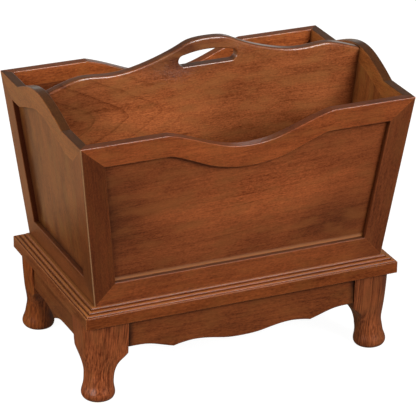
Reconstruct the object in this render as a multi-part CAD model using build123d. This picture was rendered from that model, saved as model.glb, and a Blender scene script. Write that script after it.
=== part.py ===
from build123d import *
import os

# Flared magazine rack: framed and panelled tray with a handled divider on a low cabriole-leg stand.
# Millimetres, +Z up.  Origin: on the floor, under the centre of the rack.  +X runs along the length and
# -Y is the front.  The back and the right-hand pieces are mirror images of the front and the left-hand ones.

os.makedirs("parts", exist_ok=True)

# ---- stand -------------------------------------------------------------------------------------
PLATFORM_L = 404.0          # platform length over the fascia
PLATFORM_W = 247.4          # platform width over the fascia
LEG_H = 100.7               # floor to underside of platform
FASCIA_H = 14.7             # plain vertical edge below the beads
PLATFORM_H = 21.6           # underside to the seat of the tray
RAIL_W = 52.0               # platform rails are mitred round an open middle
LEG_W = 51.8                # square block at the top of each leg
LEG_INSET = 3.2             # leg face behind the fascia
KNEE_Z = 59.0               # lower end of the square block
APRON_T = 12.0
APRON_SETBACK = 3.3         # apron face behind the leg face
APRON_EASE = 0.8            # bevel on the shaped lower edge
APRON_GAP = 0.9             # between the end of an apron and the leg
PLATFORM_EASE = 1.3         # rounding of the platform's four corners
GLUE_BLOCK = 16.0

# ---- tray --------------------------------------------------------------------------------------
TRAY_Z = LEG_H + PLATFORM_H
CORNER_Z = 331.7            # height of the four corners of the tray
TRAY_L0, TRAY_W0 = 371.6, 219.5      # outside, on the platform
TRAY_L1, TRAY_W1 = 421.2, 265.6      # outside, at corner height
WALL_T = 12.0
RECESS = 6.5                # face of a panel behind the face of its frame
LONG_FRAME = (27.8, 27.3, 27.2)      # widths of stiles, bottom rail and top rail
END_FRAME = (30.0, 27.0, 27.2)
PANEL_LAP = 8.0             # panel let in behind the frame
FLOOR_T = 9.0
SLAB_TOP = 372.0            # construction height, above every wall
TOP_EASE = 1.3              # rounding of the top edges
SIGHT_EASE = 0.6            # bevel on the frame's edge round the panel
CORNER_EASE = 1.3           # rounding of the four leaning corners

# Waves of the top edges: half width of the wave, rise at its middle, share of the rise at half way,
# slope where it leaves the straight part.
LONG_WAVE = (102.7, -28.3, 0.63, -0.25)
LONG_PANEL_WAVE = (100.0, -28.3, 0.70, -0.27)
END_WAVE = (73.0, 20.8, 0.69, 0.46)
END_PANEL_WAVE = (76.0, 21.3, 0.62, 0.41)

# ---- divider -----------------------------------------------------------------------------------
DIVIDER_T = 12.0
DADO = 3.0                  # divider let into the end walls
DIVIDER_END_Z = 349.2
DIVIDER_TOP_Z = 391.6
SLOT_HALF = 37.4
SLOT_Z = 358.9              # sill of the hand slot
SLOT_SHOULDER_Z = 373.0
SLOT_CROWN_Z = 376.9
CREST_EASE = 2.6            # rounding of the divider's top edges
SLOT_EASE = 1.8             # rounding of the hand slot's edges

# ---- screws ------------------------------------------------------------------------------------
SCREW_D = 4.0
HEAD_D = 8.0
HEAD_H = 2.4
LEG_SCREW = 45.0
TRAY_SCREW = 27.0

KX = (TRAY_L1 - TRAY_L0) / 2 / (CORNER_Z - TRAY_Z)
KY = (TRAY_W1 - TRAY_W0) / 2 / (CORNER_Z - TRAY_Z)


def half_l(z):
    """Half of the tray's outside length at height z."""
    return TRAY_L0 / 2 + KX * (z - TRAY_Z)


def half_w(z):
    """Half of the tray's outside width at height z."""
    return TRAY_W0 / 2 + KY * (z - TRAY_Z)


def polygon(points):
    """Flat face from a closed run of points."""
    return make_face(Polyline(*points, close=True))


def at(plane, face):
    """Put a face drawn in local x, y onto a plane."""
    return plane * face


def prism(plane, face, reach=300.0):
    """Face on a plane, run through the whole rack."""
    return extrude(at(plane, face), amount=reach, both=True)


# ---- tray walls --------------------------------------------------------------------------------
def slab_outline(z, long_side, outer, inner):
    """Section of one wall at height z, between two depths, with 45 degree corner mitres."""
    xo, yo = half_l(z) - outer, half_w(z) - outer
    xi, yi = half_l(z) - inner, half_w(z) - inner
    if long_side:
        points = [(-xo, -yo), (xo, -yo), (xi, -yi), (-xi, -yi)]
    else:
        points = [(-xo, -yo), (-xi, -yi), (-xi, yi), (-xo, yo)]
    return Plane.XY.offset(z) * polygon(points)


def slab(long_side, outer, inner):
    """Leaning wall between two depths from the outside."""
    ends = [slab_outline(z, long_side, outer, inner) for z in (TRAY_Z, SLAB_TOP)]
    return loft(ends, ruled=True)


def wave(half_span, level, shape):
    """Top line from left to right: straight, S-curve, mirrored S-curve, straight."""
    reach, rise, share, slope = shape
    shoulder = (-reach, level)
    half_way = (-reach / 2, level + rise * share)
    middle = (0, level + rise)
    left = Spline(shoulder, half_way, middle, tangents=[(1, slope), (1, 0)])
    right = mirror(left, about=Plane.YZ)
    return [Line((-half_span, level), shoulder), left, right, Line((reach, level), (half_span, level))]


def frame_corners(long_side):
    """Corner points of the opening inside a frame, bottom then top."""
    stile, bottom_rail, top_rail = LONG_FRAME if long_side else END_FRAME
    half = half_l if long_side else half_w
    low = TRAY_Z + bottom_rail
    high = CORNER_Z - top_rail
    return (half(low) - stile, low), (half(high) - stile, high)


def opening(long_side, shape, grow):
    """Face of the panel opening, made larger all round by grow."""
    (x0, z0), (x1, z1) = frame_corners(long_side)
    x0, z0, x1, z1 = x0 + grow, z0 - grow, x1 + grow, z1 + grow
    sides = [Line((x1, z1), (x0, z0)), Line((x0, z0), (-x0, z0)), Line((-x0, z0), (-x1, z1))]
    return make_face(wave(x1, z1, shape) + sides)


def depth(p, long_side):
    """How far a point lies behind the outer face of its wall."""
    return half_w(p.Z) - abs(p.Y) if long_side else half_l(p.Z) - abs(p.X)


def follows(edge, outline, long_side):
    """True for an edge of a wall's outer face that follows an outline drawn through the rack's middle."""
    points = [edge @ share for share in (0, 0.5, 1)]
    if any(abs(depth(p, long_side)) > 0.05 for p in points):
        return False
    flat = [Vertex(p.X, 0, p.Z) if long_side else Vertex(0, p.Y, p.Z) for p in points]
    return all(min(line.distance_to(v) for line in outline.edges()) < 0.3 for v in flat)


def frame_blank(long_side, top_shape, panel_opening):
    """Frame of one wall in one piece, with its top edges rounded and its edge round the panel bevelled."""
    half = half_l if long_side else half_w
    plane = Plane.XZ if long_side else Plane.YZ
    head = half(CORNER_Z)
    out = head + 20
    sides = Polyline((head, CORNER_Z), (out, CORNER_Z), (out, TRAY_Z), (-out, TRAY_Z), (-out, CORNER_Z),
                     (-head, CORNER_Z))
    board = slab(long_side, 0, WALL_T) & prism(plane, make_face(wave(head, CORNER_Z, top_shape) + [sides]))
    top = [e for e in board.edges() if (e @ 0.5).Z > CORNER_Z - 30
           and abs(depth(e @ 0, long_side) - depth(e @ 1, long_side)) < 0.05
           and min(abs(depth(e @ 0.5, long_side)), abs(depth(e @ 0.5, long_side) - WALL_T)) < 0.05]
    frame = fillet(top, TOP_EASE) - prism(plane, panel_opening)
    outline = plane * panel_opening
    return chamfer([e for e in frame.edges() if follows(e, outline, long_side)], SIGHT_EASE)


def corner_round():
    """What rounding takes off the leaning corner at the -X, -Y end."""
    r = CORNER_EASE
    ends = []
    for z in (TRAY_Z, SLAB_TOP):
        x, y = -half_l(z), -half_w(z)
        middle = r * (1 - 0.5 ** 0.5)
        ends.append(Plane.XY.offset(z) * make_face([
            ThreePointArc((x, y + r), (x + middle, y + middle), (x + r, y)),
            Polyline((x + r, y), (x + r, y - 1), (x - 1, y - 1), (x - 1, y + r), (x, y + r)),
        ]))
    return loft(ends, ruled=True)


def wall_pieces(long_side):
    """Top rail, bottom rail, two stiles (at the -X or -Y end and at the other end) and panel of one wall."""
    half = half_l if long_side else half_w
    plane = Plane.XZ if long_side else Plane.YZ
    top_shape = LONG_WAVE if long_side else END_WAVE
    panel_shape = LONG_PANEL_WAVE if long_side else END_PANEL_WAVE
    panel = slab(long_side, RECESS, WALL_T) & prism(plane, opening(long_side, panel_shape, PANEL_LAP))
    frame = frame_blank(long_side, top_shape, opening(long_side, panel_shape, 0))
    corner = corner_round()
    far_corner = mirror(corner, about=Plane.YZ if long_side else Plane.XZ)
    frame = frame - panel - corner - far_corner

    # The frame is cut apart along its mitres.
    (x0, z0), (x1, z1) = frame_corners(long_side)
    foot, head = half(TRAY_Z), half(CORNER_Z)
    top = polygon([(head, CORNER_Z), (x1, z1), (x1 - 20, 230), (20 - x1, 230), (-x1, z1), (-head, CORNER_Z),
                   (-head, SLAB_TOP), (head, SLAB_TOP)])
    bottom = polygon([(foot, TRAY_Z), (x0, z0), (x0 - 20, z0 + 40), (20 - x0, z0 + 40), (-x0, z0),
                      (-foot, TRAY_Z)])
    stile = polygon([(x0, z0), (foot, TRAY_Z), (head + 20, TRAY_Z), (head + 20, CORNER_Z),
                     (head, CORNER_Z), (x1, z1), (x1 - 8, z1 - 12), (x0 - 8, z0 + 12)])

    pieces = {"top_rail": frame & prism(plane, top), "bottom_rail": frame & prism(plane, bottom)}
    ends = ("left", "right") if long_side else ("front", "back")
    pieces["stile_" + ends[0]] = frame & prism(plane, mirror(stile, about=Plane.YZ))
    pieces["stile_" + ends[1]] = frame & prism(plane, stile)
    pieces["panel"] = panel
    return pieces


# ---- divider and floor -------------------------------------------------------------------------
def divider_blank():
    """Divider before its edges are rounded: it leans out with the end walls and stands on the floor."""
    foot_z = TRAY_Z + FLOOR_T
    foot = half_l(foot_z) - WALL_T + DADO
    end = half_l(DIVIDER_END_Z) - WALL_T + DADO
    crest = Spline((-end, DIVIDER_END_Z), (-182, 357.3), (-158.5, 362.9), (-129, 361.5), (-87, 366.2),
                   (-35.5, 384.2), (0, DIVIDER_TOP_Z), tangents=[(1, 0.45), (1, 0)])
    sides = [Line((end, DIVIDER_END_Z), (foot, foot_z)), Line((foot, foot_z), (-foot, foot_z)),
             Line((-foot, foot_z), (-end, DIVIDER_END_Z))]
    board = make_face([crest, mirror(crest, about=Plane.YZ)] + sides)

    low, high = SLOT_Z, SLOT_SHOULDER_Z
    end_r = (high - low) / 2
    inner = SLOT_HALF - end_r
    slot = make_face([
        Line((-inner, low), (inner, low)),
        ThreePointArc((inner, low), (SLOT_HALF, low + end_r), (inner, high)),
        ThreePointArc((inner, high), (0, SLOT_CROWN_Z), (-inner, high)),
        ThreePointArc((-inner, high), (-SLOT_HALF, low + end_r), (-inner, low)),
    ])
    return extrude(Plane.XZ * (board - slot), amount=DIVIDER_T / 2, both=True)


def eased_divider():
    """Divider with rounded top edge and hand slot."""
    board = divider_blank()
    long_edges = [e for e in board.edges() if abs(abs(e.center().Y) - DIVIDER_T / 2) < 0.01]
    slot = [e for e in long_edges if max(abs((e @ share).X) for share in (0, 1)) < SLOT_HALF + 1
            and e.center().Z > SLOT_Z - 1]
    board = fillet(slot, SLOT_EASE)
    crest = [e for e in board.edges() if abs(abs(e.center().Y) - DIVIDER_T / 2) < 0.01
             and max(abs((e @ share).X) for share in (0, 1)) > SLOT_HALF + 20
             and e.center().Z > DIVIDER_END_Z]
    return fillet(crest, CREST_EASE)


def tray_floor():
    """Floor board, bevelled to fit between the leaning walls."""
    ends = []
    for z in (TRAY_Z, TRAY_Z + FLOOR_T):
        ends.append(Plane.XY.offset(z) * Rectangle(2 * (half_l(z) - WALL_T), 2 * (half_w(z) - WALL_T)))
    return loft(ends, ruled=True)


# ---- platform ----------------------------------------------------------------------------------
def rail_section():
    """Platform rail: x is the distance in from the fascia, y the height above the underside."""
    f = FASCIA_H
    return make_face([
        ThreePointArc((0.8, 0), (0.23, 0.23), (0, 0.8)),
        Line((0, 0.8), (0, f - 0.8)),
        ThreePointArc((0, f - 0.8), (0.25, f - 0.25), (0.8, f)),
        Line((0.8, f), (2.0, f - 0.5)),
        ThreePointArc((2.0, f - 0.5), (4.2, f + 1.7), (6.4, f + 0.6)),
        Line((6.4, f + 0.6), (6.8, f + 0.9)),
        ThreePointArc((6.8, f + 0.9), (9.0, f + 4.2), (11.2, f + 3.2)),
        Line((11.2, f + 3.2), (11.5, f + 3.4)),
        ThreePointArc((11.5, f + 3.4), (11.9, f + 5.9), (13.0, PLATFORM_H)),
        Line((13.0, PLATFORM_H), (RAIL_W, PLATFORM_H)),
        Line((RAIL_W, PLATFORM_H), (RAIL_W, 0)),
        Line((RAIL_W, 0), (0.8, 0)),
    ])


def platform_rail(long_side):
    """Front or left rail of the platform with mitred ends."""
    l, w = PLATFORM_L / 2, PLATFORM_W / 2
    if long_side:
        plane = Plane(origin=(0, -w, LEG_H), x_dir=(0, 1, 0), z_dir=(1, 0, 0))
        plan = polygon([(-l, -w), (l, -w), (l - RAIL_W, -w + RAIL_W), (-l + RAIL_W, -w + RAIL_W)])
    else:
        plane = Plane(origin=(-l, 0, LEG_H), x_dir=(1, 0, 0), z_dir=(0, -1, 0))
        plan = polygon([(-l, -w), (-l + RAIL_W, -w + RAIL_W), (-l + RAIL_W, w - RAIL_W), (-l, w)])
    rail = prism(plane, rail_section()) & extrude(plan, amount=200)
    r = PLATFORM_EASE
    middle = r * (1 - 0.5 ** 0.5)
    corner = extrude(make_face([
        ThreePointArc((-l, -w + r), (-l + middle, -w + middle), (-l + r, -w)),
        Polyline((-l + r, -w), (-l + r, -w - 1), (-l - 1, -w - 1), (-l - 1, -w + r), (-l, -w + r)),
    ]), amount=200)
    return rail - corner - mirror(corner, about=Plane.YZ if long_side else Plane.XZ)


# ---- legs and aprons ---------------------------------------------------------------------------
# Height, taper of the two outer faces, cut-back of the two inner faces, then the rounding of the outer
# corner, of the two side corners and of the inner corner.
KNEE = (KNEE_Z, 2.2, 0.0, 20.5, 2.0, 2.5)
LEG_BLOCK = [(LEG_H, 0.2, 0.0, 21.0, 1.5, 2.0), (84.0, 0.7, 0.0, 21.0, 1.5, 2.0), KNEE]
LEG_LOWER = [
    KNEE,
    (55.5, 2.6, 2.7, 20.0, 2.7, 4.0),
    (51.5, 3.3, 6.2, 18.7, 4.0, 6.4),
    (46.0, 4.3, 10.1, 17.0, 5.6, 10.3),
    (39.0, 5.3, 12.2, 15.6, 8.2, 14.0),
    (31.0, 5.2, 13.2, 15.4, 11.7, 16.3),
    (22.0, 3.6, 13.6, 16.8, 15.1, 17.7),
    (13.0, 1.0, 13.0, 19.2, 17.6, 19.2),
    (6.0, -0.4, 12.2, 20.2, 19.6, 20.2),
    (1.6, 1.7, 13.7, 18.0, 18.0, 18.2),
    (0.0, 4.2, 15.8, 15.2, 15.4, 15.4),
]


def leg_section(z, taper, cut, outer_r, side_r, inner_r):
    """Rounded square at height z for the leg in the +X, +Y corner."""
    x1 = PLATFORM_L / 2 - LEG_INSET - taper
    y1 = PLATFORM_W / 2 - LEG_INSET - taper
    x0 = PLATFORM_L / 2 - LEG_INSET - LEG_W + cut
    y0 = PLATFORM_W / 2 - LEG_INSET - LEG_W + cut
    corners = [(x1, y0, 1, -1, side_r), (x1, y1, 1, 1, outer_r), (x0, y1, -1, 1, side_r),
               (x0, y0, -1, -1, inner_r)]
    edges = []
    start = (x0 + inner_r, y0)
    for x, y, sx, sy, r in corners:
        cx, cy = x - sx * r, y - sy * r
        if sx * sy < 0:
            first, last = (cx, y), (x, cy)
        else:
            first, last = (x, cy), (cx, y)
        middle = (cx + sx * r * 0.5 ** 0.5, cy + sy * r * 0.5 ** 0.5)
        edges.append(Line(start, first))
        edges.append(ThreePointArc(first, middle, last))
        start = last
    return Plane.XY.offset(z) * make_face(edges)


def leg():
    """Leg in the +X, +Y corner: square block over a waisted ankle and a round pad foot."""
    block = loft([leg_section(*row) for row in LEG_BLOCK])
    lower = loft([leg_section(*row) for row in LEG_LOWER])
    return block + lower


def long_apron():
    """Front apron: two small drops either side of a wide middle drop."""
    half = PLATFORM_L / 2 - LEG_INSET - LEG_W - APRON_GAP
    face_y = -(PLATFORM_W / 2 - LEG_INSET - APRON_SETBACK)
    outer = Spline((-half, 66.4), (-121, 65.2), (-102, 60.0), (-89, 56.2), tangents=[(1, 0), (1, -0.25)])
    inner = Spline((-89, 56.2), (-78, 58.4), (-64, 59.7), (-33, 56.0), (0, 52.8),
                   tangents=[(1, 0.3), (1, 0)])
    low = [outer, inner, mirror(inner, about=Plane.YZ), mirror(outer, about=Plane.YZ)]
    top = [Line((half, 66.4), (half, LEG_H)), Line((half, LEG_H), (-half, LEG_H)),
           Line((-half, LEG_H), (-half, 66.4))]
    plane = Plane(origin=(0, face_y, 0), x_dir=(1, 0, 0), z_dir=(0, -1, 0))
    board = extrude(plane * make_face(low + top), amount=-APRON_T)
    edge = [e for e in board.edges() if (e @ 0.5).Z < 70
            and max(abs((e @ share).Y - face_y) for share in (0, 1)) < 0.01]
    return chamfer(edge, APRON_EASE)


def end_apron():
    """Left apron: two low arches that meet in a middle point."""
    half = PLATFORM_W / 2 - LEG_INSET - LEG_W - APRON_GAP
    face_x = -(PLATFORM_L / 2 - LEG_INSET - APRON_SETBACK)
    arch = Spline((-half, 67.4), (-38, 66.9), (-15, 64.4), (0, 58.2), tangents=[(1, 0), (1, -0.55)])
    low = [arch, mirror(arch, about=Plane.YZ)]
    top = [Line((half, 67.4), (half, LEG_H)), Line((half, LEG_H), (-half, LEG_H)),
           Line((-half, LEG_H), (-half, 67.4))]
    plane = Plane(origin=(face_x, 0, 0), x_dir=(0, 1, 0), z_dir=(1, 0, 0))
    board = extrude(plane * make_face(low + top), amount=APRON_T)
    edge = [e for e in board.edges() if (e @ 0.5).Z < 72
            and max(abs((e @ share).X - face_x) for share in (0, 1)) < 0.01]
    return chamfer(edge, APRON_EASE)


def glue_block(x, y, sx, sy):
    """Triangular block in the corner between an apron and the platform, along X or along Y."""
    section = polygon([(0, 0), (GLUE_BLOCK, 0), (0, -GLUE_BLOCK)])
    if sy:
        plane = Plane(origin=(x, y, LEG_H), x_dir=(0, sy, 0), z_dir=(sy, 0, 0))
    else:
        plane = Plane(origin=(x, y, LEG_H), x_dir=(sx, 0, 0), z_dir=(0, -sx, 0))
    return extrude(plane * section, amount=22, both=True)


# ---- screws ------------------------------------------------------------------------------------
def screw(x, y, z, length, up):
    """Countersunk wood screw with its head flush at height z, pointing down or up."""
    r, h, tip = SCREW_D / 2, HEAD_D / 2, 4.0
    section = make_face([
        Line((0, 0), (h, 0)),
        Line((h, 0), (r, HEAD_H)),
        Line((r, HEAD_H), (r, length - tip)),
        Line((r, length - tip), (0.4, length)),
        Line((0.4, length), (0, length)),
        Line((0, length), (0, 0)),
    ])
    body = revolve(Plane.XZ * section, axis=Axis.Z)
    drive = Pos(0, 0, 0.6) * Box(1.0, 4.6, 1.2) + Pos(0, 0, 0.6) * Box(4.6, 1.0, 1.2)
    body = body - drive
    if not up:
        body = mirror(body, about=Plane.XY)
    return Pos(x, y, z) * body


def screw_hole(x, y, z, length, up):
    """Hole that the screw fills, with the drive recess left closed."""
    r, h, tip = SCREW_D / 2, HEAD_D / 2, 4.0
    section = polygon([(0, 0), (h, 0), (r, HEAD_H), (r, length - tip), (0.4, length), (0, length)])
    body = revolve(Plane.XZ * section, axis=Axis.Z)
    if not up:
        body = mirror(body, about=Plane.XY)
    return Pos(x, y, z) * body


# ---- assembly ----------------------------------------------------------------------------------
parts = {}
MIRROR_BACK = Plane.XZ
MIRROR_RIGHT = Plane.YZ

for name, piece in wall_pieces(True).items():
    parts["front_" + name] = piece
    parts["back_" + name] = mirror(piece, about=MIRROR_BACK)

blank = divider_blank()
for name, piece in wall_pieces(False).items():
    piece = piece - blank
    parts["left_" + name] = piece
    parts["right_" + name] = mirror(piece, about=MIRROR_RIGHT)

parts["divider"] = eased_divider()
parts["tray_floor"] = tray_floor()

parts["platform_front"] = platform_rail(True)
parts["platform_back"] = mirror(parts["platform_front"], about=MIRROR_BACK)
parts["platform_left"] = platform_rail(False)
parts["platform_right"] = mirror(parts["platform_left"], about=MIRROR_RIGHT)

parts["leg_back_right"] = leg()
parts["leg_back_left"] = mirror(parts["leg_back_right"], about=MIRROR_RIGHT)
parts["leg_front_right"] = mirror(parts["leg_back_right"], about=MIRROR_BACK)
parts["leg_front_left"] = mirror(parts["leg_back_left"], about=MIRROR_BACK)

parts["apron_front"] = long_apron()
parts["apron_back"] = mirror(parts["apron_front"], about=MIRROR_BACK)
parts["apron_left"] = end_apron()
parts["apron_right"] = mirror(parts["apron_left"], about=MIRROR_RIGHT)

apron_y = PLATFORM_W / 2 - LEG_INSET - APRON_SETBACK - APRON_T
apron_x = PLATFORM_L / 2 - LEG_INSET - APRON_SETBACK - APRON_T
for side, sx in (("left", -1), ("right", 1)):
    parts["glue_block_front_" + side] = glue_block(sx * 75, -apron_y, 0, 1)
    parts["glue_block_back_" + side] = glue_block(sx * 75, apron_y, 0, -1)
    parts["glue_block_" + side] = glue_block(sx * apron_x, 0, -sx, 0)

leg_spots = []
for sx in (-1, 1):
    for sy in (-1, 1):
        leg_spots.append((sx * (PLATFORM_L / 2 - 40), sy * (PLATFORM_W / 2 - 20)))
        leg_spots.append((sx * (PLATFORM_L / 2 - 20), sy * (PLATFORM_W / 2 - 40)))
tray_spots = []
for s in (-1, 1):
    tray_spots.append((-110, s * (PLATFORM_W / 2 - 38)))
    tray_spots.append((110, s * (PLATFORM_W / 2 - 38)))
    tray_spots.append((s * (PLATFORM_L / 2 - 38), 0))

holes = [screw_hole(x, y, TRAY_Z, LEG_SCREW, False) for x, y in leg_spots]
holes += [screw_hole(x, y, LEG_H, TRAY_SCREW, True) for x, y in tray_spots]
for name in parts:
    if name.startswith(("platform", "leg", "tray_floor")):
        box = parts[name].bounding_box()
        for hole in holes:
            c = hole.bounding_box()
            if c.min.X < box.max.X and c.max.X > box.min.X and c.min.Y < box.max.Y and c.max.Y > box.min.Y:
                parts[name] = parts[name] - hole

parts["leg_screws"] = Compound([screw(x, y, TRAY_Z, LEG_SCREW, False) for x, y in leg_spots])
parts["tray_screws"] = Compound([screw(x, y, LEG_H, TRAY_SCREW, True) for x, y in tray_spots])

for name, piece in parts.items():
    export_step(piece, "parts/" + name + ".step")
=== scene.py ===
import math
from dataclasses import dataclass
from typing import NamedTuple

import bpy
from mathutils import Matrix, Vector

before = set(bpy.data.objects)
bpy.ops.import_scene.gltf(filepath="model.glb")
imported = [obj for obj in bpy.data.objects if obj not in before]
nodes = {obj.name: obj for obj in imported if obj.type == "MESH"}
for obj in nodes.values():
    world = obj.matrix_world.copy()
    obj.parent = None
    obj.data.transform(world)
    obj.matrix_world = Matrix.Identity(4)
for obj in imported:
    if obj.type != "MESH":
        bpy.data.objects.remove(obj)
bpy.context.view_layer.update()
scene = bpy.context.scene

X, Y, Z = (1, 0, 0), (0, 1, 0), (0, 0, 1)
MM = 1000.0                          # millimetres in the frame's unit, the metre

# The tray, in millimetres. Its walls lean out by LEAN_X and LEAN_Y for each unit of height.
LEAN_X = 0.1184                      # left and right walls
LEAN_Y = 0.1101                      # front and back walls
FOOT_LENGTH = 371.6
FOOT_WIDTH = 219.5
FOOT_HEIGHT = 122.3                  # height of the tray's foot above the ground
SILL_HEIGHT = 149.6                  # where the front and back panels rise from the bottom rails
# |x| + |y| less both leans, which is the same all the way up a corner of the tray.
TRAY_CORNER = (FOOT_LENGTH + FOOT_WIDTH) / 2 - (LEAN_X + LEAN_Y) * FOOT_HEIGHT


# ---- node helpers ------------------------------------------------------------------------------
class Tree:
    """Short names for building the nodes of a material or a world."""

    def __init__(self, owner):
        owner.use_nodes = True
        self.owner = owner
        self.tree = owner.node_tree

    def node(self, kind, **settings):
        made = self.tree.nodes.new(kind)
        for key, value in settings.items():
            setattr(made, key, value)
        return made

    def put(self, socket, value):
        """Link an output to the socket, or set the socket's own value."""
        if isinstance(value, bpy.types.NodeSocket):
            self.tree.links.new(value, socket)
        else:
            socket.default_value = value

    def give(self, **values):
        """Set inputs of a material's shader by name, with _ for a space."""
        shader = self.tree.nodes["Principled BSDF"]
        for name, value in values.items():
            self.put(shader.inputs[name.replace("_", " ")], value)

    def place(self):
        """The point being shaded, in its object's own coordinates, in metres."""
        return self.node("ShaderNodeTexCoord").outputs["Object"]

    def math(self, operation, a, b=0.0, c=0.0, clamp=False):
        made = self.node("ShaderNodeMath", operation=operation, use_clamp=clamp)
        for socket, value in zip(made.inputs, (a, b, c)):
            self.put(socket, value)
        return made.outputs[0]

    def vector(self, operation, a, b=(0, 0, 0)):
        made = self.node("ShaderNodeVectorMath", operation=operation)
        self.put(made.inputs[0], a)
        self.put(made.inputs[1], b)
        return made.outputs["Value" if operation in ("DOT_PRODUCT", "LENGTH") else "Vector"]

    def split(self, value):
        """The three parts of a vector."""
        made = self.node("ShaderNodeSeparateXYZ")
        self.put(made.inputs[0], value)
        return made.outputs

    def noise(self, where, size, detail=2.0, rough=0.5, output="Fac"):
        """Noise from 0 to 1 with features of the given size along each of the vector's axes."""
        made = self.node("ShaderNodeTexNoise")
        self.put(made.inputs["Vector"], self.vector("DIVIDE", where, size))
        self.put(made.inputs["Scale"], 1.0)
        self.put(made.inputs["Detail"], detail)
        self.put(made.inputs["Roughness"], rough)
        return made.outputs[output]

    def ramp(self, value, low, high, start=0.0, end=1.0, curve="LINEAR"):
        """Go from start to end while the value goes from low to high."""
        made = self.node("ShaderNodeMapRange", clamp=True, interpolation_type=curve)
        for socket, number in zip(made.inputs, (value, low, high, start, end)):
            self.put(socket, number)
        return made.outputs[0]

    def mix(self, amount, a, b, blend="MIX"):
        """Mix two colours, each an output or three numbers."""
        made = self.node("ShaderNodeMix", data_type="RGBA", blend_type=blend)
        self.put(made.inputs[0], amount)
        for socket, colour in zip(made.inputs[6:8], (a, b)):
            self.put(socket, colour if isinstance(colour, bpy.types.NodeSocket) else (*colour, 1))
        return made.outputs[2]


# ---- what a board looks like -------------------------------------------------------------------
STAIN = (0.228, 0.0568, 0.0140)      # reddish-brown cherry, linear
CORNER_LINE = (0.37, 0.21, 0.10)            # pale line along the tray's corners, partly rubbed finish and partly painted highlight
CORNER_LINE_STRENGTH = 0.7                    # how strong the pale corner line is
CORNER_WIDE = 1.35                   # mm of |x| + |y| inside the sharp corner where the pale line starts
CORNER_FULL = 0.90                   # the same, where it is full

# These colours are multiples of a board's own stain.
DARK_GRAIN = (0.46, 0.36, 0.28)
PALE_GRAIN = (1.54, 1.64, 1.72)
GOLDEN = (1.12, 1.50, 1.50)
# The next five colours paint light and shade: shade in corners, shade on faces that look one way, a highlight
# band over the sill, and shade and highlight on upward faces.
NOOK_SHADE = (0.16, 0.10, 0.08)
FACING_SHADE = (0.30, 0.13, 0.08)
SILL_HIGHLIGHT = (1.9, 2.9, 3.3)
TOP_SHADE = (0.10, 0.10, 0.10)
TOP_HIGHLIGHT = (2.4, 3.2, 3.0)

# Sizes of the figure in millimetres: along the fibres, across them and into the board.
SWAY_SIZE = (140.0, 40.0, 40.0)      # of the bends in the fibres
SWAY = (0.0, 12.0, 12.0)             # how far the fibres bend
PORES = (6.0, 1.1, 1.1)
STIPPLE = (2.6, 1.5, 1.5)
CLOUDS = (80.0, 26.0, 26.0)
PATCHES = (34.0, 14.0, 14.0)
RING_WAVES = (260.0, 26.0, 26.0)
FIBRE_LENGTH = 90.0
SEED_STEP = (37.0, 53.0, 71.0)       # how far each seed is from the next one in the noise

# Ring lines. A turn is the way from one line to the next, from 0 to 1.
RING_WOBBLE = 9.0                    # mm that a line strays
RING_SLANT = 0.35                    # how fast the straight rings shift with depth into the board
LINE_START, LINE_PEAK = 0.62, 0.94   # of a turn
LINE_SHARPNESS = 3.0
HEART_FADE = 60.0                    # mm over which the arches fade out
HEART_FAINT = 0.25                   # what is left of them

ALL_ACROSS = 5000                    # half width in mm of a spot that covers a board's whole width
ALL_THROUGH = 1e6                    # half thickness in mm of every spot

# Wear, painted shade and painted highlight. Openness goes from 0 deep in a corner to 1 on an open face.
NOOK_SHADE_REACH = 0.009                  # metres from a corner that its painted shade reaches
NOOK_SHADE_FULL, NOOK_SHADE_NONE = 0.30, 0.94  # openness
FACES, FACES_FULLY = 0.55, 0.90      # cosine of a face's angle to the direction that it is tested for
FACING_SHADE_STRENGTH = 0.75
SILL_FULL, SILL_NONE = 1.5, 5.5      # mm over the sill
SILL_HIGHLIGHT_STRENGTH = 0.8
EDGE_RADIUS = 0.0012                 # metres from an edge that the edge marks reach
EDGE_NONE, EDGE_FULL = 0.99, 0.82    # cosine of the angle between the face and the rounded edge
EDGE_OPEN_NONE, EDGE_OPEN_FULL = 0.80, 0.97      # openness
FIBRE_LOW, FIBRE_HIGH = 0.30, 0.62   # fibres between which the edge marks grow
SPARED = 0.3                         # share of the edge marks that the lowest fibres get
GOLD_NONE, GOLD_FULL = 0.48, 0.72    # patches between which the wood turns golden
GOLD = 0.5

COAT_ROUGHNESS = 0.17
ROUGHNESS_RANGE = 0.14               # between the smoothest and the roughest fibre
RELIEF_DEPTH = 0.0002                # metres, of the bump
RELIEF = 0.20
PORE_RELIEF, FIBRE_RELIEF = 0.7, 0.5


class Spot(NamedTuple):
    """A broad patch, painted paler or darker: its middle on the board and half sizes, in mm, and how much
    paler it is, or darker if negative. Some follow the wood's own tone, some are painted shade, and the legs'
    pale feet painted sheen."""
    along: float
    across: float
    half_length: float
    half_width: float
    paler: float


class Heart(NamedTuple):
    """The middle of the log, in mm: its height on the board, its depth behind the face, how fast the rings
    widen along the board, what is added to their radius, and where the arches fade out."""
    height: float
    depth: float
    taper: float
    shift: float
    end: float


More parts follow.
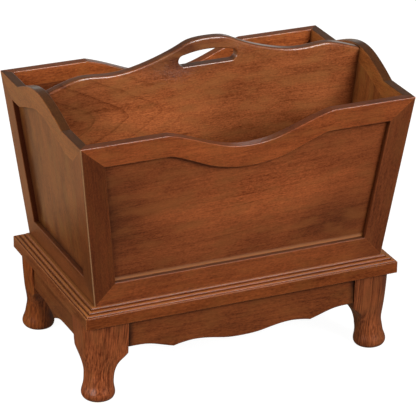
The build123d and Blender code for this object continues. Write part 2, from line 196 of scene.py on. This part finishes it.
@dataclass
class Look:
    """How one board is stained, figured, finished and worn, and where it has painted shade and highlight. A
    strength of 0 leaves a feature out.
    """
    tint: tuple = (1, 1, 1)          # multiplies the stain
    seed: int = 0                    # takes the figure from another part of the log
    dash: float = 1.1                # strength of the short pores
    streak: float = 0.7              # strength of the long fibres
    width: float = 2.4               # width of the long fibres, mm
    fleck: float = 0.8               # strength of the stipple
    mottle: float = 0.9              # strength of the clouds and golden patches
    rings: float = 0.15              # strength of the ring lines
    gap: float = 13.0                # mm from one ring line to the next
    heart: Heart = None              # makes the ring lines arches
    spots: tuple = ()
    nook_shade: float = 0.85              # strength of the painted shade in the corners
    reveal: tuple = None             # faces that look this way get painted shade
    sill: float = 0.0                # height in mm where a panel's painted highlight band starts, or 0 for no band
    top_shading: float = 0.0               # painted shade on the upward faces, or painted highlight if negative
    edge_tone: tuple = (2.0, 2.4, 2.6)    # colour of the edges, a multiple of the stain: paler is wear and painted highlight, darker is painted shade
    edge_strength: float = 0.5                 # how strongly the edges take that colour
    corner: bool = False             # adds the pale line along the tray's leaning corners, wear and painted highlight
    roughness: float = 0.34
    shine: float = 0.25              # specular level under the lacquer
    coat: float = 0.5                # weight of the lacquer


# ---- wood --------------------------------------------------------------------------------------
def tinted(colour, by):
    """Colour with its channels multiplied."""
    return tuple(c * k for c, k in zip(colour, by))


def board_axes(t, grain, face):
    """Place on the board in millimetres: along the fibres, across them, and into the broad face."""
    g = Vector(grain).normalized()
    n = Vector(face)
    n = (n - g * n.dot(g)).normalized()
    place = t.place()
    joined = t.node("ShaderNodeCombineXYZ")
    for socket, axis in zip(joined.inputs, (g, n.cross(g), n)):
        t.put(socket, t.math("MULTIPLY", t.vector("DOT_PRODUCT", place, tuple(axis)), MM))
    return joined.outputs[0]


def ring_lines(t, place, uneven, gap, heart):
    """Dark late wood at the growth rings, from 0 to 1: straight lines, or arches round a heart."""
    along, across, deep = t.split(place)
    if heart:
        rise = t.math("SUBTRACT", across, heart.height)
        radius = t.math("SQRT", t.math("MULTIPLY_ADD", rise, rise, heart.depth ** 2))
        radius = t.math("ADD", radius, t.math("MULTIPLY_ADD", along, heart.taper, heart.shift))
    else:
        radius = t.math("MULTIPLY_ADD", deep, RING_SLANT, across)
    radius = t.math("MULTIPLY_ADD", uneven, RING_WOBBLE, radius)
    turn = t.math("FRACT", t.math("DIVIDE", radius, gap))
    line = t.math("MULTIPLY", t.ramp(turn, LINE_START, LINE_PEAK), t.ramp(turn, LINE_PEAK, 1.0, 1.0, 0.0))
    line = t.math("POWER", line, LINE_SHARPNESS)
    if heart:
        fade = t.ramp(along, heart.end, heart.end + HEART_FADE, 1.0, HEART_FAINT)
        line = t.math("MULTIPLY", line, fade)
    return line


def figure(t, place, look):
    """The wood's figure: its pores, its fibres, its golden patches, and how pale it is from 0 to 1."""
    own = t.vector("ADD", place, tuple(look.seed * step for step in SEED_STEP))
    bend = t.noise(own, SWAY_SIZE, output="Color")
    sway = t.vector("MULTIPLY", t.vector("SUBTRACT", bend, (0.5, 0.5, 0.5)), SWAY)
    bent = t.vector("ADD", own, sway)

    pores = t.noise(bent, PORES, detail=2.0, rough=0.6)
    fibres = t.noise(bent, (FIBRE_LENGTH, look.width, look.width), detail=2.0, rough=0.6)
    stipple = t.noise(own, STIPPLE, detail=1.0)
    clouds = t.noise(bent, CLOUDS, detail=3.0, rough=0.55)
    patches = t.noise(own, PATCHES)
    late = ring_lines(t, t.vector("ADD", place, sway), t.noise(own, RING_WAVES), look.gap, look.heart)

    level = t.math("MULTIPLY_ADD", pores, look.dash, 0.5 - look.dash / 2)
    for noise, strength in ((fibres, look.streak), (clouds, look.mottle), (stipple, look.fleck)):
        level = t.math("ADD", level, t.math("MULTIPLY_ADD", noise, strength, -strength / 2))
    level = t.math("SUBTRACT", level, t.math("MULTIPLY", late, look.rings), clamp=True)
    return pores, fibres, patches, level


def spotted(t, colour, place, spots):
    """The colour, made paler or darker in the middle of each spot."""
    for spot in spots:
        off = t.vector("SUBTRACT", place, (spot.along, spot.across, 0))
        off = t.vector("DIVIDE", off, (spot.half_length, spot.half_width, ALL_THROUGH))
        fall = t.ramp(t.vector("LENGTH", off), 0.0, 1.0, 1.0 + spot.paler, 1.0, "SMOOTHSTEP")
        colour = t.mix(1.0, colour, fall, "MULTIPLY")
    return colour


def facing(t, normal, direction, strength):
    """The strength on faces that look in the direction, and 0 on the others."""
    return t.ramp(t.vector("DOT_PRODUCT", normal, direction), FACES, FACES_FULLY, 0.0, strength)


def shaded(t, colour, base, normal, openness, look):
    """The colour with painted shade in the corners, and with whatever the look has of painted shade on faces
    that look one way, a painted highlight band over the sill, and painted shade or highlight on the upward
    faces.
    """
    # Darker in corners and recesses, from ambient occlusion: painted shade.
    nook_shaded = t.ramp(openness, NOOK_SHADE_FULL, NOOK_SHADE_NONE, look.nook_shade, 0.0)
    colour = t.mix(nook_shaded, colour, tinted(base, NOOK_SHADE))
    # Faces that look the given way: painted shade.
    if look.reveal:
        colour = t.mix(facing(t, normal, look.reveal, FACING_SHADE_STRENGTH), colour, tinted(base, FACING_SHADE))
    # A pale band just over the sill: painted highlight.
    if look.sill:
        height = t.vector("DOT_PRODUCT", t.place(), (0, 0, MM))
        highlight_band = t.ramp(height, look.sill + SILL_FULL, look.sill + SILL_NONE, SILL_HIGHLIGHT_STRENGTH, 0.0)
        colour = t.mix(highlight_band, colour, tinted(base, SILL_HIGHLIGHT))
    # Upward faces darker or paler: painted shade, or painted highlight when the amount is negative.
    if look.top_shading:
        top_shading = tinted(base, TOP_SHADE if look.top_shading > 0 else TOP_HIGHLIGHT)
        colour = t.mix(facing(t, normal, Z, abs(look.top_shading)), colour, top_shading)
    return colour


def corner_line(t):
    """From 0 up along the tray's four leaning corners, where a pale line is partly rubbed finish and partly
    painted highlight on the arris.
    """
    place = t.vector("ABSOLUTE", t.place())
    both = t.math("MULTIPLY", t.vector("DOT_PRODUCT", place, (1, 1, -LEAN_X - LEAN_Y)), MM)
    return t.ramp(both, TRAY_CORNER - CORNER_WIDE, TRAY_CORNER - CORNER_FULL, 0.0, CORNER_LINE_STRENGTH)


def edge_marks(t, colour, base, normal, openness, fibres, look):
    """The colour with marked edges, more so on the pale fibres, and with the pale corner line if the look has
    it. Paler edges are partly wear and partly painted highlight on the arrises; darker ones are painted
    shade.
    """
    soft = t.node("ShaderNodeBevel", samples=4)
    t.put(soft.inputs["Radius"], EDGE_RADIUS)
    turned = t.vector("DOT_PRODUCT", soft.outputs[0], normal)
    edge = t.math("MULTIPLY", t.ramp(turned, EDGE_NONE, EDGE_FULL), t.ramp(openness, EDGE_OPEN_NONE, EDGE_OPEN_FULL))
    hold = t.ramp(fibres, FIBRE_LOW, FIBRE_HIGH, SPARED * look.edge_strength, look.edge_strength)
    edge = t.math("MULTIPLY", edge, hold)
    # Edges paler for wear and painted highlight, or darker for painted shade, as the edge colour says.
    colour = t.mix(edge, colour, tinted(base, look.edge_tone))
    # Pale line along the corners: partly wear, partly painted highlight.
    if look.corner:
        colour = t.mix(corner_line(t), colour, CORNER_LINE)
    return colour


def wood(name, grain, face, look):
    """Stained and lacquered cherry, with painted shade and highlights. grain is the direction of the fibres,
    and face that of the broad face.
    """
    t = Tree(bpy.data.materials.new(name))
    place = board_axes(t, grain, face)
    pores, fibres, patches, level = figure(t, place, look)
    base = tinted(STAIN, look.tint)
    colour = t.mix(level, tinted(base, DARK_GRAIN), tinted(base, PALE_GRAIN))
    colour = spotted(t, colour, place, look.spots)
    golden = t.math("MULTIPLY", t.ramp(patches, GOLD_NONE, GOLD_FULL), GOLD * look.mottle, clamp=True)
    colour = t.mix(golden, colour, tinted(base, GOLDEN))

    normal = t.node("ShaderNodeNewGeometry").outputs["Normal"]
    shelter = t.node("ShaderNodeAmbientOcclusion", samples=6)
    t.put(shelter.inputs["Distance"], NOOK_SHADE_REACH)
    openness = shelter.outputs["AO"]
    colour = shaded(t, colour, base, normal, openness, look)
    colour = edge_marks(t, colour, base, normal, openness, fibres, look)

    bump = t.node("ShaderNodeBump")
    t.put(bump.inputs["Strength"], RELIEF)
    t.put(bump.inputs["Distance"], RELIEF_DEPTH)
    raised = t.math("MULTIPLY", pores, PORE_RELIEF), t.math("MULTIPLY", fibres, FIBRE_RELIEF)
    t.put(bump.inputs["Height"], t.math("ADD", *raised))
    rough = t.math("MULTIPLY_ADD", fibres, ROUGHNESS_RANGE, look.roughness - ROUGHNESS_RANGE / 2)
    t.give(Base_Color=colour, Roughness=rough, Specular_IOR_Level=look.shine, Coat_Weight=look.coat,
           Coat_Roughness=COAT_ROUGHNESS, Normal=bump.outputs[0])
    return t.owner


def steel(name):
    """Bright screws, a little marked. The sizes of the marks are in metres."""
    marks = (0.0012, 0.0012, 0.0012)
    dull, bright = (0.42, 0.40, 0.36), (0.62, 0.60, 0.55)
    smoothest, roughness_range = 0.28, 0.2
    t = Tree(bpy.data.materials.new(name))
    mark = t.noise(t.place(), marks, detail=4.0, rough=0.6)
    t.give(Base_Color=t.mix(mark, dull, bright), Metallic=1.0,
           Roughness=t.math("MULTIPLY_ADD", mark, roughness_range, smoothest))
    return t.owner


# ---- dressing the pieces -----------------------------------------------------------------------
APRON_END = 147                      # mm from the middle of a long apron to the middle of its dark end, painted shade beside a leg
# The back left leg's paler tint is a painted sheen.
LEG_TINTS = {
    "front_left": (1.00, 0.98, 1.12),
    "front_right": (0.88, 0.90, 1.05),
    "back_left": (1.25, 1.18, 0.95),
    "back_right": (0.88, 0.90, 1.05),
}


def dress(node, material):
    """Give a CAD node one material."""
    for slot in nodes[node].material_slots:
        slot.material = material


def board(node, grain, face, look):
    """Dress a node with a board of its own."""
    dress(node, wood(node, grain, face, look))


def long_wall(side, sy, seed):
    """Front or back wall. Only the front one's boards are patchy all over, as the photo shows them."""
    front = side == "front"
    face = (0, sy, -LEAN_Y)
    # Rails and ledges get painted shade on their upward faces and in their corners; the panel a painted
    # highlight band over the sill.
    rail = Look((1.55, 1.52, 1.40), 1 + seed, mottle=1.2, top_shading=0.5, corner=True,
                spots=(Spot(-95, -318, 50, 40, paler=0.45),))
    ledge = Look((1.06, 1.02, 1.0), 2 + seed, top_shading=0.6, corner=True, nook_shade=0.5)
    panel = Look((0.97, 0.96, 1.06), 3 + seed, dash=1.0, mottle=1.0, sill=SILL_HEIGHT, coat=0.3)
    if front:
        rail.tint = (1.1, 1.02, 0.98)
        rail.spots = (Spot(-75, 318, 50, 24, paler=0.10), Spot(-190, 318, 60, 30, paler=-0.20),
                      Spot(100, 318, 80, 30, paler=0.20))
        ledge.spots = (Spot(175, 135, 70, 60, paler=-0.35),)
        panel.spots = (Spot(-175, 250, 90, 110, paler=-0.62), Spot(-60, 150, 150, 45, paler=-0.25),
                       Spot(45, 245, 170, 60, paler=0.50), Spot(135, 180, 90, 60, paler=-0.40))
    board(side + "_top_rail", X, face, rail)
    board(side + "_bottom_rail", X, face, ledge)
    board(side + "_panel", (1, 0, 0.05), face, panel)
    for end, sx, tint in (("left", -1, (0.52, 0.46, 0.38)), ("right", 1, (0.68, 0.65, 0.68))):
        board(f"{side}_stile_{end}", (sx * LEAN_X, sy * LEAN_Y, 1), face,
              Look(tint, 4 + sx + seed, dash=0.7, corner=True))


def end_wall(side, sx, seed):
    """Left or right wall. The stiles' inner edges and the lower part of the front stile are dark, painted
    shade.
    """
    face = (sx, 0, -LEAN_X)
    # The top rail's upward faces get painted shade.
    board(side + "_top_rail", Y, face, Look((1.07, 1.32, 1.15), 5 + seed, top_shading=0.75, corner=True))
    board(side + "_bottom_rail", Y, face, Look((0.70, 0.74, 0.74), 6 + seed, corner=True))
    panel = Look((0.80, 0.93, 0.85), 7 + seed, mottle=1.5, streak=0.9, dash=1.4)
    # The left panel's dark patches are painted shade, in the recess by its back stile and low down.
    if side == "left":
        panel.spots = (Spot(235, 80, 150, 50, paler=-0.55), Spot(150, -10, 50, 90, paler=-0.35))
    board(side + "_panel", (sx * LEAN_X, 0, 1), face, panel)
    for end, sy in (("front", -1), ("back", 1)):
        # The stiles' inner edges, facing into the recess, get painted shade.
        stile = Look((0.80, 0.84, 0.78), 9 + sy + seed, corner=True, reveal=(0, -sy, 0))
        # The front stile darkens towards its foot: painted shade.
        if end == "front":
            stile.spots = (Spot(110, 0, 150, ALL_ACROSS, paler=-0.65),)
        board(f"{side}_stile_{end}", (sx * LEAN_X, sy * LEAN_Y, 1), face, stile)


def inside():
    """The divider, with arched figure at its left, and the tray's floor."""
    heart = Heart(height=308.0, depth=6.0, taper=0.53, shift=18.8, end=-110.0)
    # The first patch is painted shade from the left wall; the second is paler wood; the third darkens the
    # middle near the crest.
    spots = (Spot(-185, 330, 90, 70, paler=-0.30), Spot(-75, 302, 110, 70, paler=0.45),
             Spot(-20, 378, 90, 40, paler=-0.60))
    # The divider's upward faces get painted shade.
    board("divider", X, (0, -1, 0),
          Look((1.27, 1.40, 1.70), 3, dash=1.2, mottle=1.2, rings=0.40, fleck=1.0, gap=22.3, top_shading=0.6,
               coat=1.0, heart=heart, spots=spots))
    board("tray_floor", X, Z, Look(seed=50))


def stand_frame():
    """The platform's rails, with pale beads, and the aprons, with dark edges and, if long, dark ends. The
    pale beads and tops are painted highlight; the dark grooves, edges and ends are painted shade.
    """
    # Dark apron ends beside the legs: painted shade.
    shaded_ends = tuple(Spot(end, 0, 9, ALL_ACROSS, paler=-0.9) for end in (-APRON_END, APRON_END))
    for number, side in enumerate(("front", "back", "left", "right")):
        # Platform: painted highlight on beads and upward faces, painted shade in its grooves.
        platform = Look((0.90, 1.03, 1.2), 60 + number, top_shading=-0.5, coat=0.15, shine=0.18, nook_shade=0.75,
                        edge_tone=(2.8, 3.8, 5.0), edge_strength=0.75)
        # Apron: dark edges, painted shade.
        apron = Look((0.78, 0.85, 0.85), 80 + number, edge_tone=(0.10, 0.08, 0.06), edge_strength=1.0)
        grain, apron_face = Y, X
        if side in ("front", "back"):
            grain, apron_face = X, Y
            platform.tint = (0.84, 0.79, 0.74)
            platform.nook_shade = 0.45
            apron.tint = (0.80, 0.77, 0.72)
            apron.spots = shaded_ends
        board("platform_" + side, grain, Z, platform)
        board("apron_" + side, grain, apron_face, apron)


def legs():
    """Each leg is a little paler towards its foot, a painted sheen, except the back left one, which is darker
    there.
    """
    grain = (0.06, 0, 1)
    for number, (end, tint) in enumerate(LEG_TINTS.items()):
        # Paler feet: painted sheen.
        foot = Spot(25, 0, 70, ALL_ACROSS, paler=-0.15 if end == "back_left" else 0.2)
        board("leg_" + end, grain, Y,
              Look(tint, 120 + number, streak=3.0, dash=0.4, fleck=0.5, width=1.5, spots=(foot,)))


def hidden():
    """Bare wood on the glue blocks and steel on the screws."""
    bare = wood("bare_wood", X, Z, Look((2.0, 4.2, 8.5), 140, roughness=0.6))
    for name in nodes:
        if name.startswith("glue_block"):
            dress(name, bare)
    metal = steel("screw_steel")
    dress("leg_screws", metal)
    dress("tray_screws", metal)


long_wall("front", -1, 0)
long_wall("back", 1, 10)
end_wall("left", -1, 20)
end_wall("right", 1, 30)
inside()
stand_frame()
legs()
hidden()


# ---- floor and light ---------------------------------------------------------------------------
def sheet(name, wide, deep, height, material):
    """A flat rectangle between two x and two y, facing up. It casts no shadow, and diffuse rays miss it."""
    corners = [(wide[0], deep[0], height), (wide[1], deep[0], height),
               (wide[1], deep[1], height), (wide[0], deep[1], height)]
    mesh = bpy.data.meshes.new(name)
    mesh.from_pydata(corners, [], [(0, 1, 2, 3)])
    mesh.materials.append(material)
    made = bpy.data.objects.new(name, mesh)
    scene.collection.objects.link(made)
    made.visible_diffuse = False
    made.visible_shadow = False
    return made


def paper():
    """White, and bright by itself."""
    t = Tree(bpy.data.materials.new("white_floor"))
    t.give(Base_Color=(0.22, 0.22, 0.22, 1), Roughness=0.9, Specular_IOR_Level=0.0,
           Emission_Color=(1, 1, 1, 1), Emission_Strength=0.96)
    return t.owner


def glowing_boards(near, far):
    """Warm light that rises from none at near to full at far, both in metres behind the rack's middle."""
    t = Tree(bpy.data.materials.new("warm_boards"))
    away = t.vector("DOT_PRODUCT", t.place(), Y)
    t.give(Base_Color=(0.05, 0.04, 0.03, 1), Roughness=0.9, Specular_IOR_Level=0.0,
           Emission_Color=(0.38, 0.22, 0.12, 1), Emission_Strength=t.ramp(away, near, far))
    return t.owner


# The floor is white to the eye only: what it would throw back on the wood comes from the world.
FLOOR_REACH = 40.0                   # metres to each side of the rack
floor = sheet("floor", (-FLOOR_REACH, FLOOR_REACH), (-FLOOR_REACH, FLOOR_REACH), 0, paper())
floor.visible_glossy = False

# Warm boards lie on the floor behind the rack, clear of its foot, and only reflections see them: they
# put the warm sheen on the left faces. All in metres.
BOARDS_REACH = 3.0
BOARDS_START = 0.15
BOARDS_LIFT = 0.001                  # over the white floor
GLOW_START, GLOW_FULL = 0.27, 0.38
boards = sheet("warm_boards", (-BOARDS_REACH, BOARDS_REACH), (BOARDS_START, BOARDS_REACH), BOARDS_LIFT,
               glowing_boards(GLOW_START, GLOW_FULL))
boards.visible_camera = False


def light_room():
    """World: a dim room, with warm ground low behind the rack and a strip of pale backdrop over it. depth
    and height say how far back and how far up a direction points, from -1 to 1."""
    front_ground, back_ground = (0.11, 0.10, 0.09), (0.09, 0.06, 0.035)
    walls, backdrop = (0.15, 0.135, 0.12), (0.7, 0.68, 0.64)
    world = bpy.data.worlds.new("studio")
    scene.world = world
    t = Tree(world)
    _, depth, height = t.split(t.node("ShaderNodeTexCoord").outputs["Generated"])
    behind = t.ramp(depth, 0.0, 0.6)
    ground = t.mix(behind, front_ground, back_ground)
    room = t.mix(t.ramp(height, -0.15, 0.05), ground, walls)
    strip = t.math("MULTIPLY", t.ramp(height, -0.06, 0.02), t.ramp(height, 0.12, 0.22, 1.0, 0.0))
    strip = t.math("MULTIPLY", strip, behind)
    background = t.tree.nodes["Background"]
    t.put(background.inputs["Color"], t.mix(strip, room, backdrop))
    t.put(background.inputs["Strength"], 1.0)


def outward(azimuth, elevation):
    """Unit vector from the rack, at angles in degrees: azimuth 0 is the front and 90 the right."""
    a, e = math.radians(azimuth), math.radians(elevation)
    return Vector((math.sin(a) * math.cos(e), -math.cos(a) * math.cos(e), math.sin(e)))


def softbox(name, azimuth, elevation, distance, size, power):
    """Rectangular area light that shines at the middle of the rack."""
    middle = Vector((0, 0, 0.2))
    data = bpy.data.lights.new(name, "AREA")
    data.shape = "RECTANGLE"
    data.size, data.size_y = size
    data.energy = power
    lamp = bpy.data.objects.new(name, data)
    scene.collection.objects.link(lamp)
    away = outward(azimuth, elevation)
    lamp.location = middle + away * distance
    lamp.rotation_mode = "QUATERNION"
    lamp.rotation_quaternion = (-away).to_track_quat("-Z", "Y")


light_room()
softbox("key", azimuth=24, elevation=30, distance=2.6, size=(1.0, 0.9), power=50)
softbox("side", azimuth=-85, elevation=25, distance=2.6, size=(1.0, 1.2), power=36)
softbox("glint", azimuth=-56, elevation=14, distance=2.2, size=(1.1, 1.1), power=10)
softbox("top", azimuth=42, elevation=56, distance=2.6, size=(1.2, 0.22), power=6.5)

# ---- camera ------------------------------------------------------------------------------------
CAMERA_AZIMUTH = -24.236             # degrees
CAMERA_ELEVATION = 24.172
CAMERA_ROLL = 0.746
CAMERA_DISTANCE = 2.93233
CAMERA_AIM = Vector((0.010540, 0.012597, 0.171341))
SENSOR_WIDTH = 36.0
FOCAL_WIDTHS = 5.7938053             # focal length in picture widths


def place_camera():
    """The photo's camera, solved from the rack's own corners."""
    lens = bpy.data.cameras.new("camera")
    lens.sensor_width = SENSOR_WIDTH
    lens.lens = SENSOR_WIDTH * FOCAL_WIDTHS
    lens.clip_start = 0.1
    lens.clip_end = 100.0
    away = outward(CAMERA_AZIMUTH, CAMERA_ELEVATION)
    level = Vector(Z).cross(away).normalized()
    upright = away.cross(level)
    roll = math.radians(CAMERA_ROLL)
    right = level * math.cos(roll) + upright * math.sin(roll)
    up = upright * math.cos(roll) - level * math.sin(roll)
    pose = Matrix((right, up, away)).transposed().to_4x4()
    pose.translation = CAMERA_AIM + away * CAMERA_DISTANCE
    camera = bpy.data.objects.new("camera", lens)
    scene.collection.objects.link(camera)
    camera.matrix_world = pose
    scene.camera = camera


place_camera()
scene.view_settings.view_transform = "Standard"
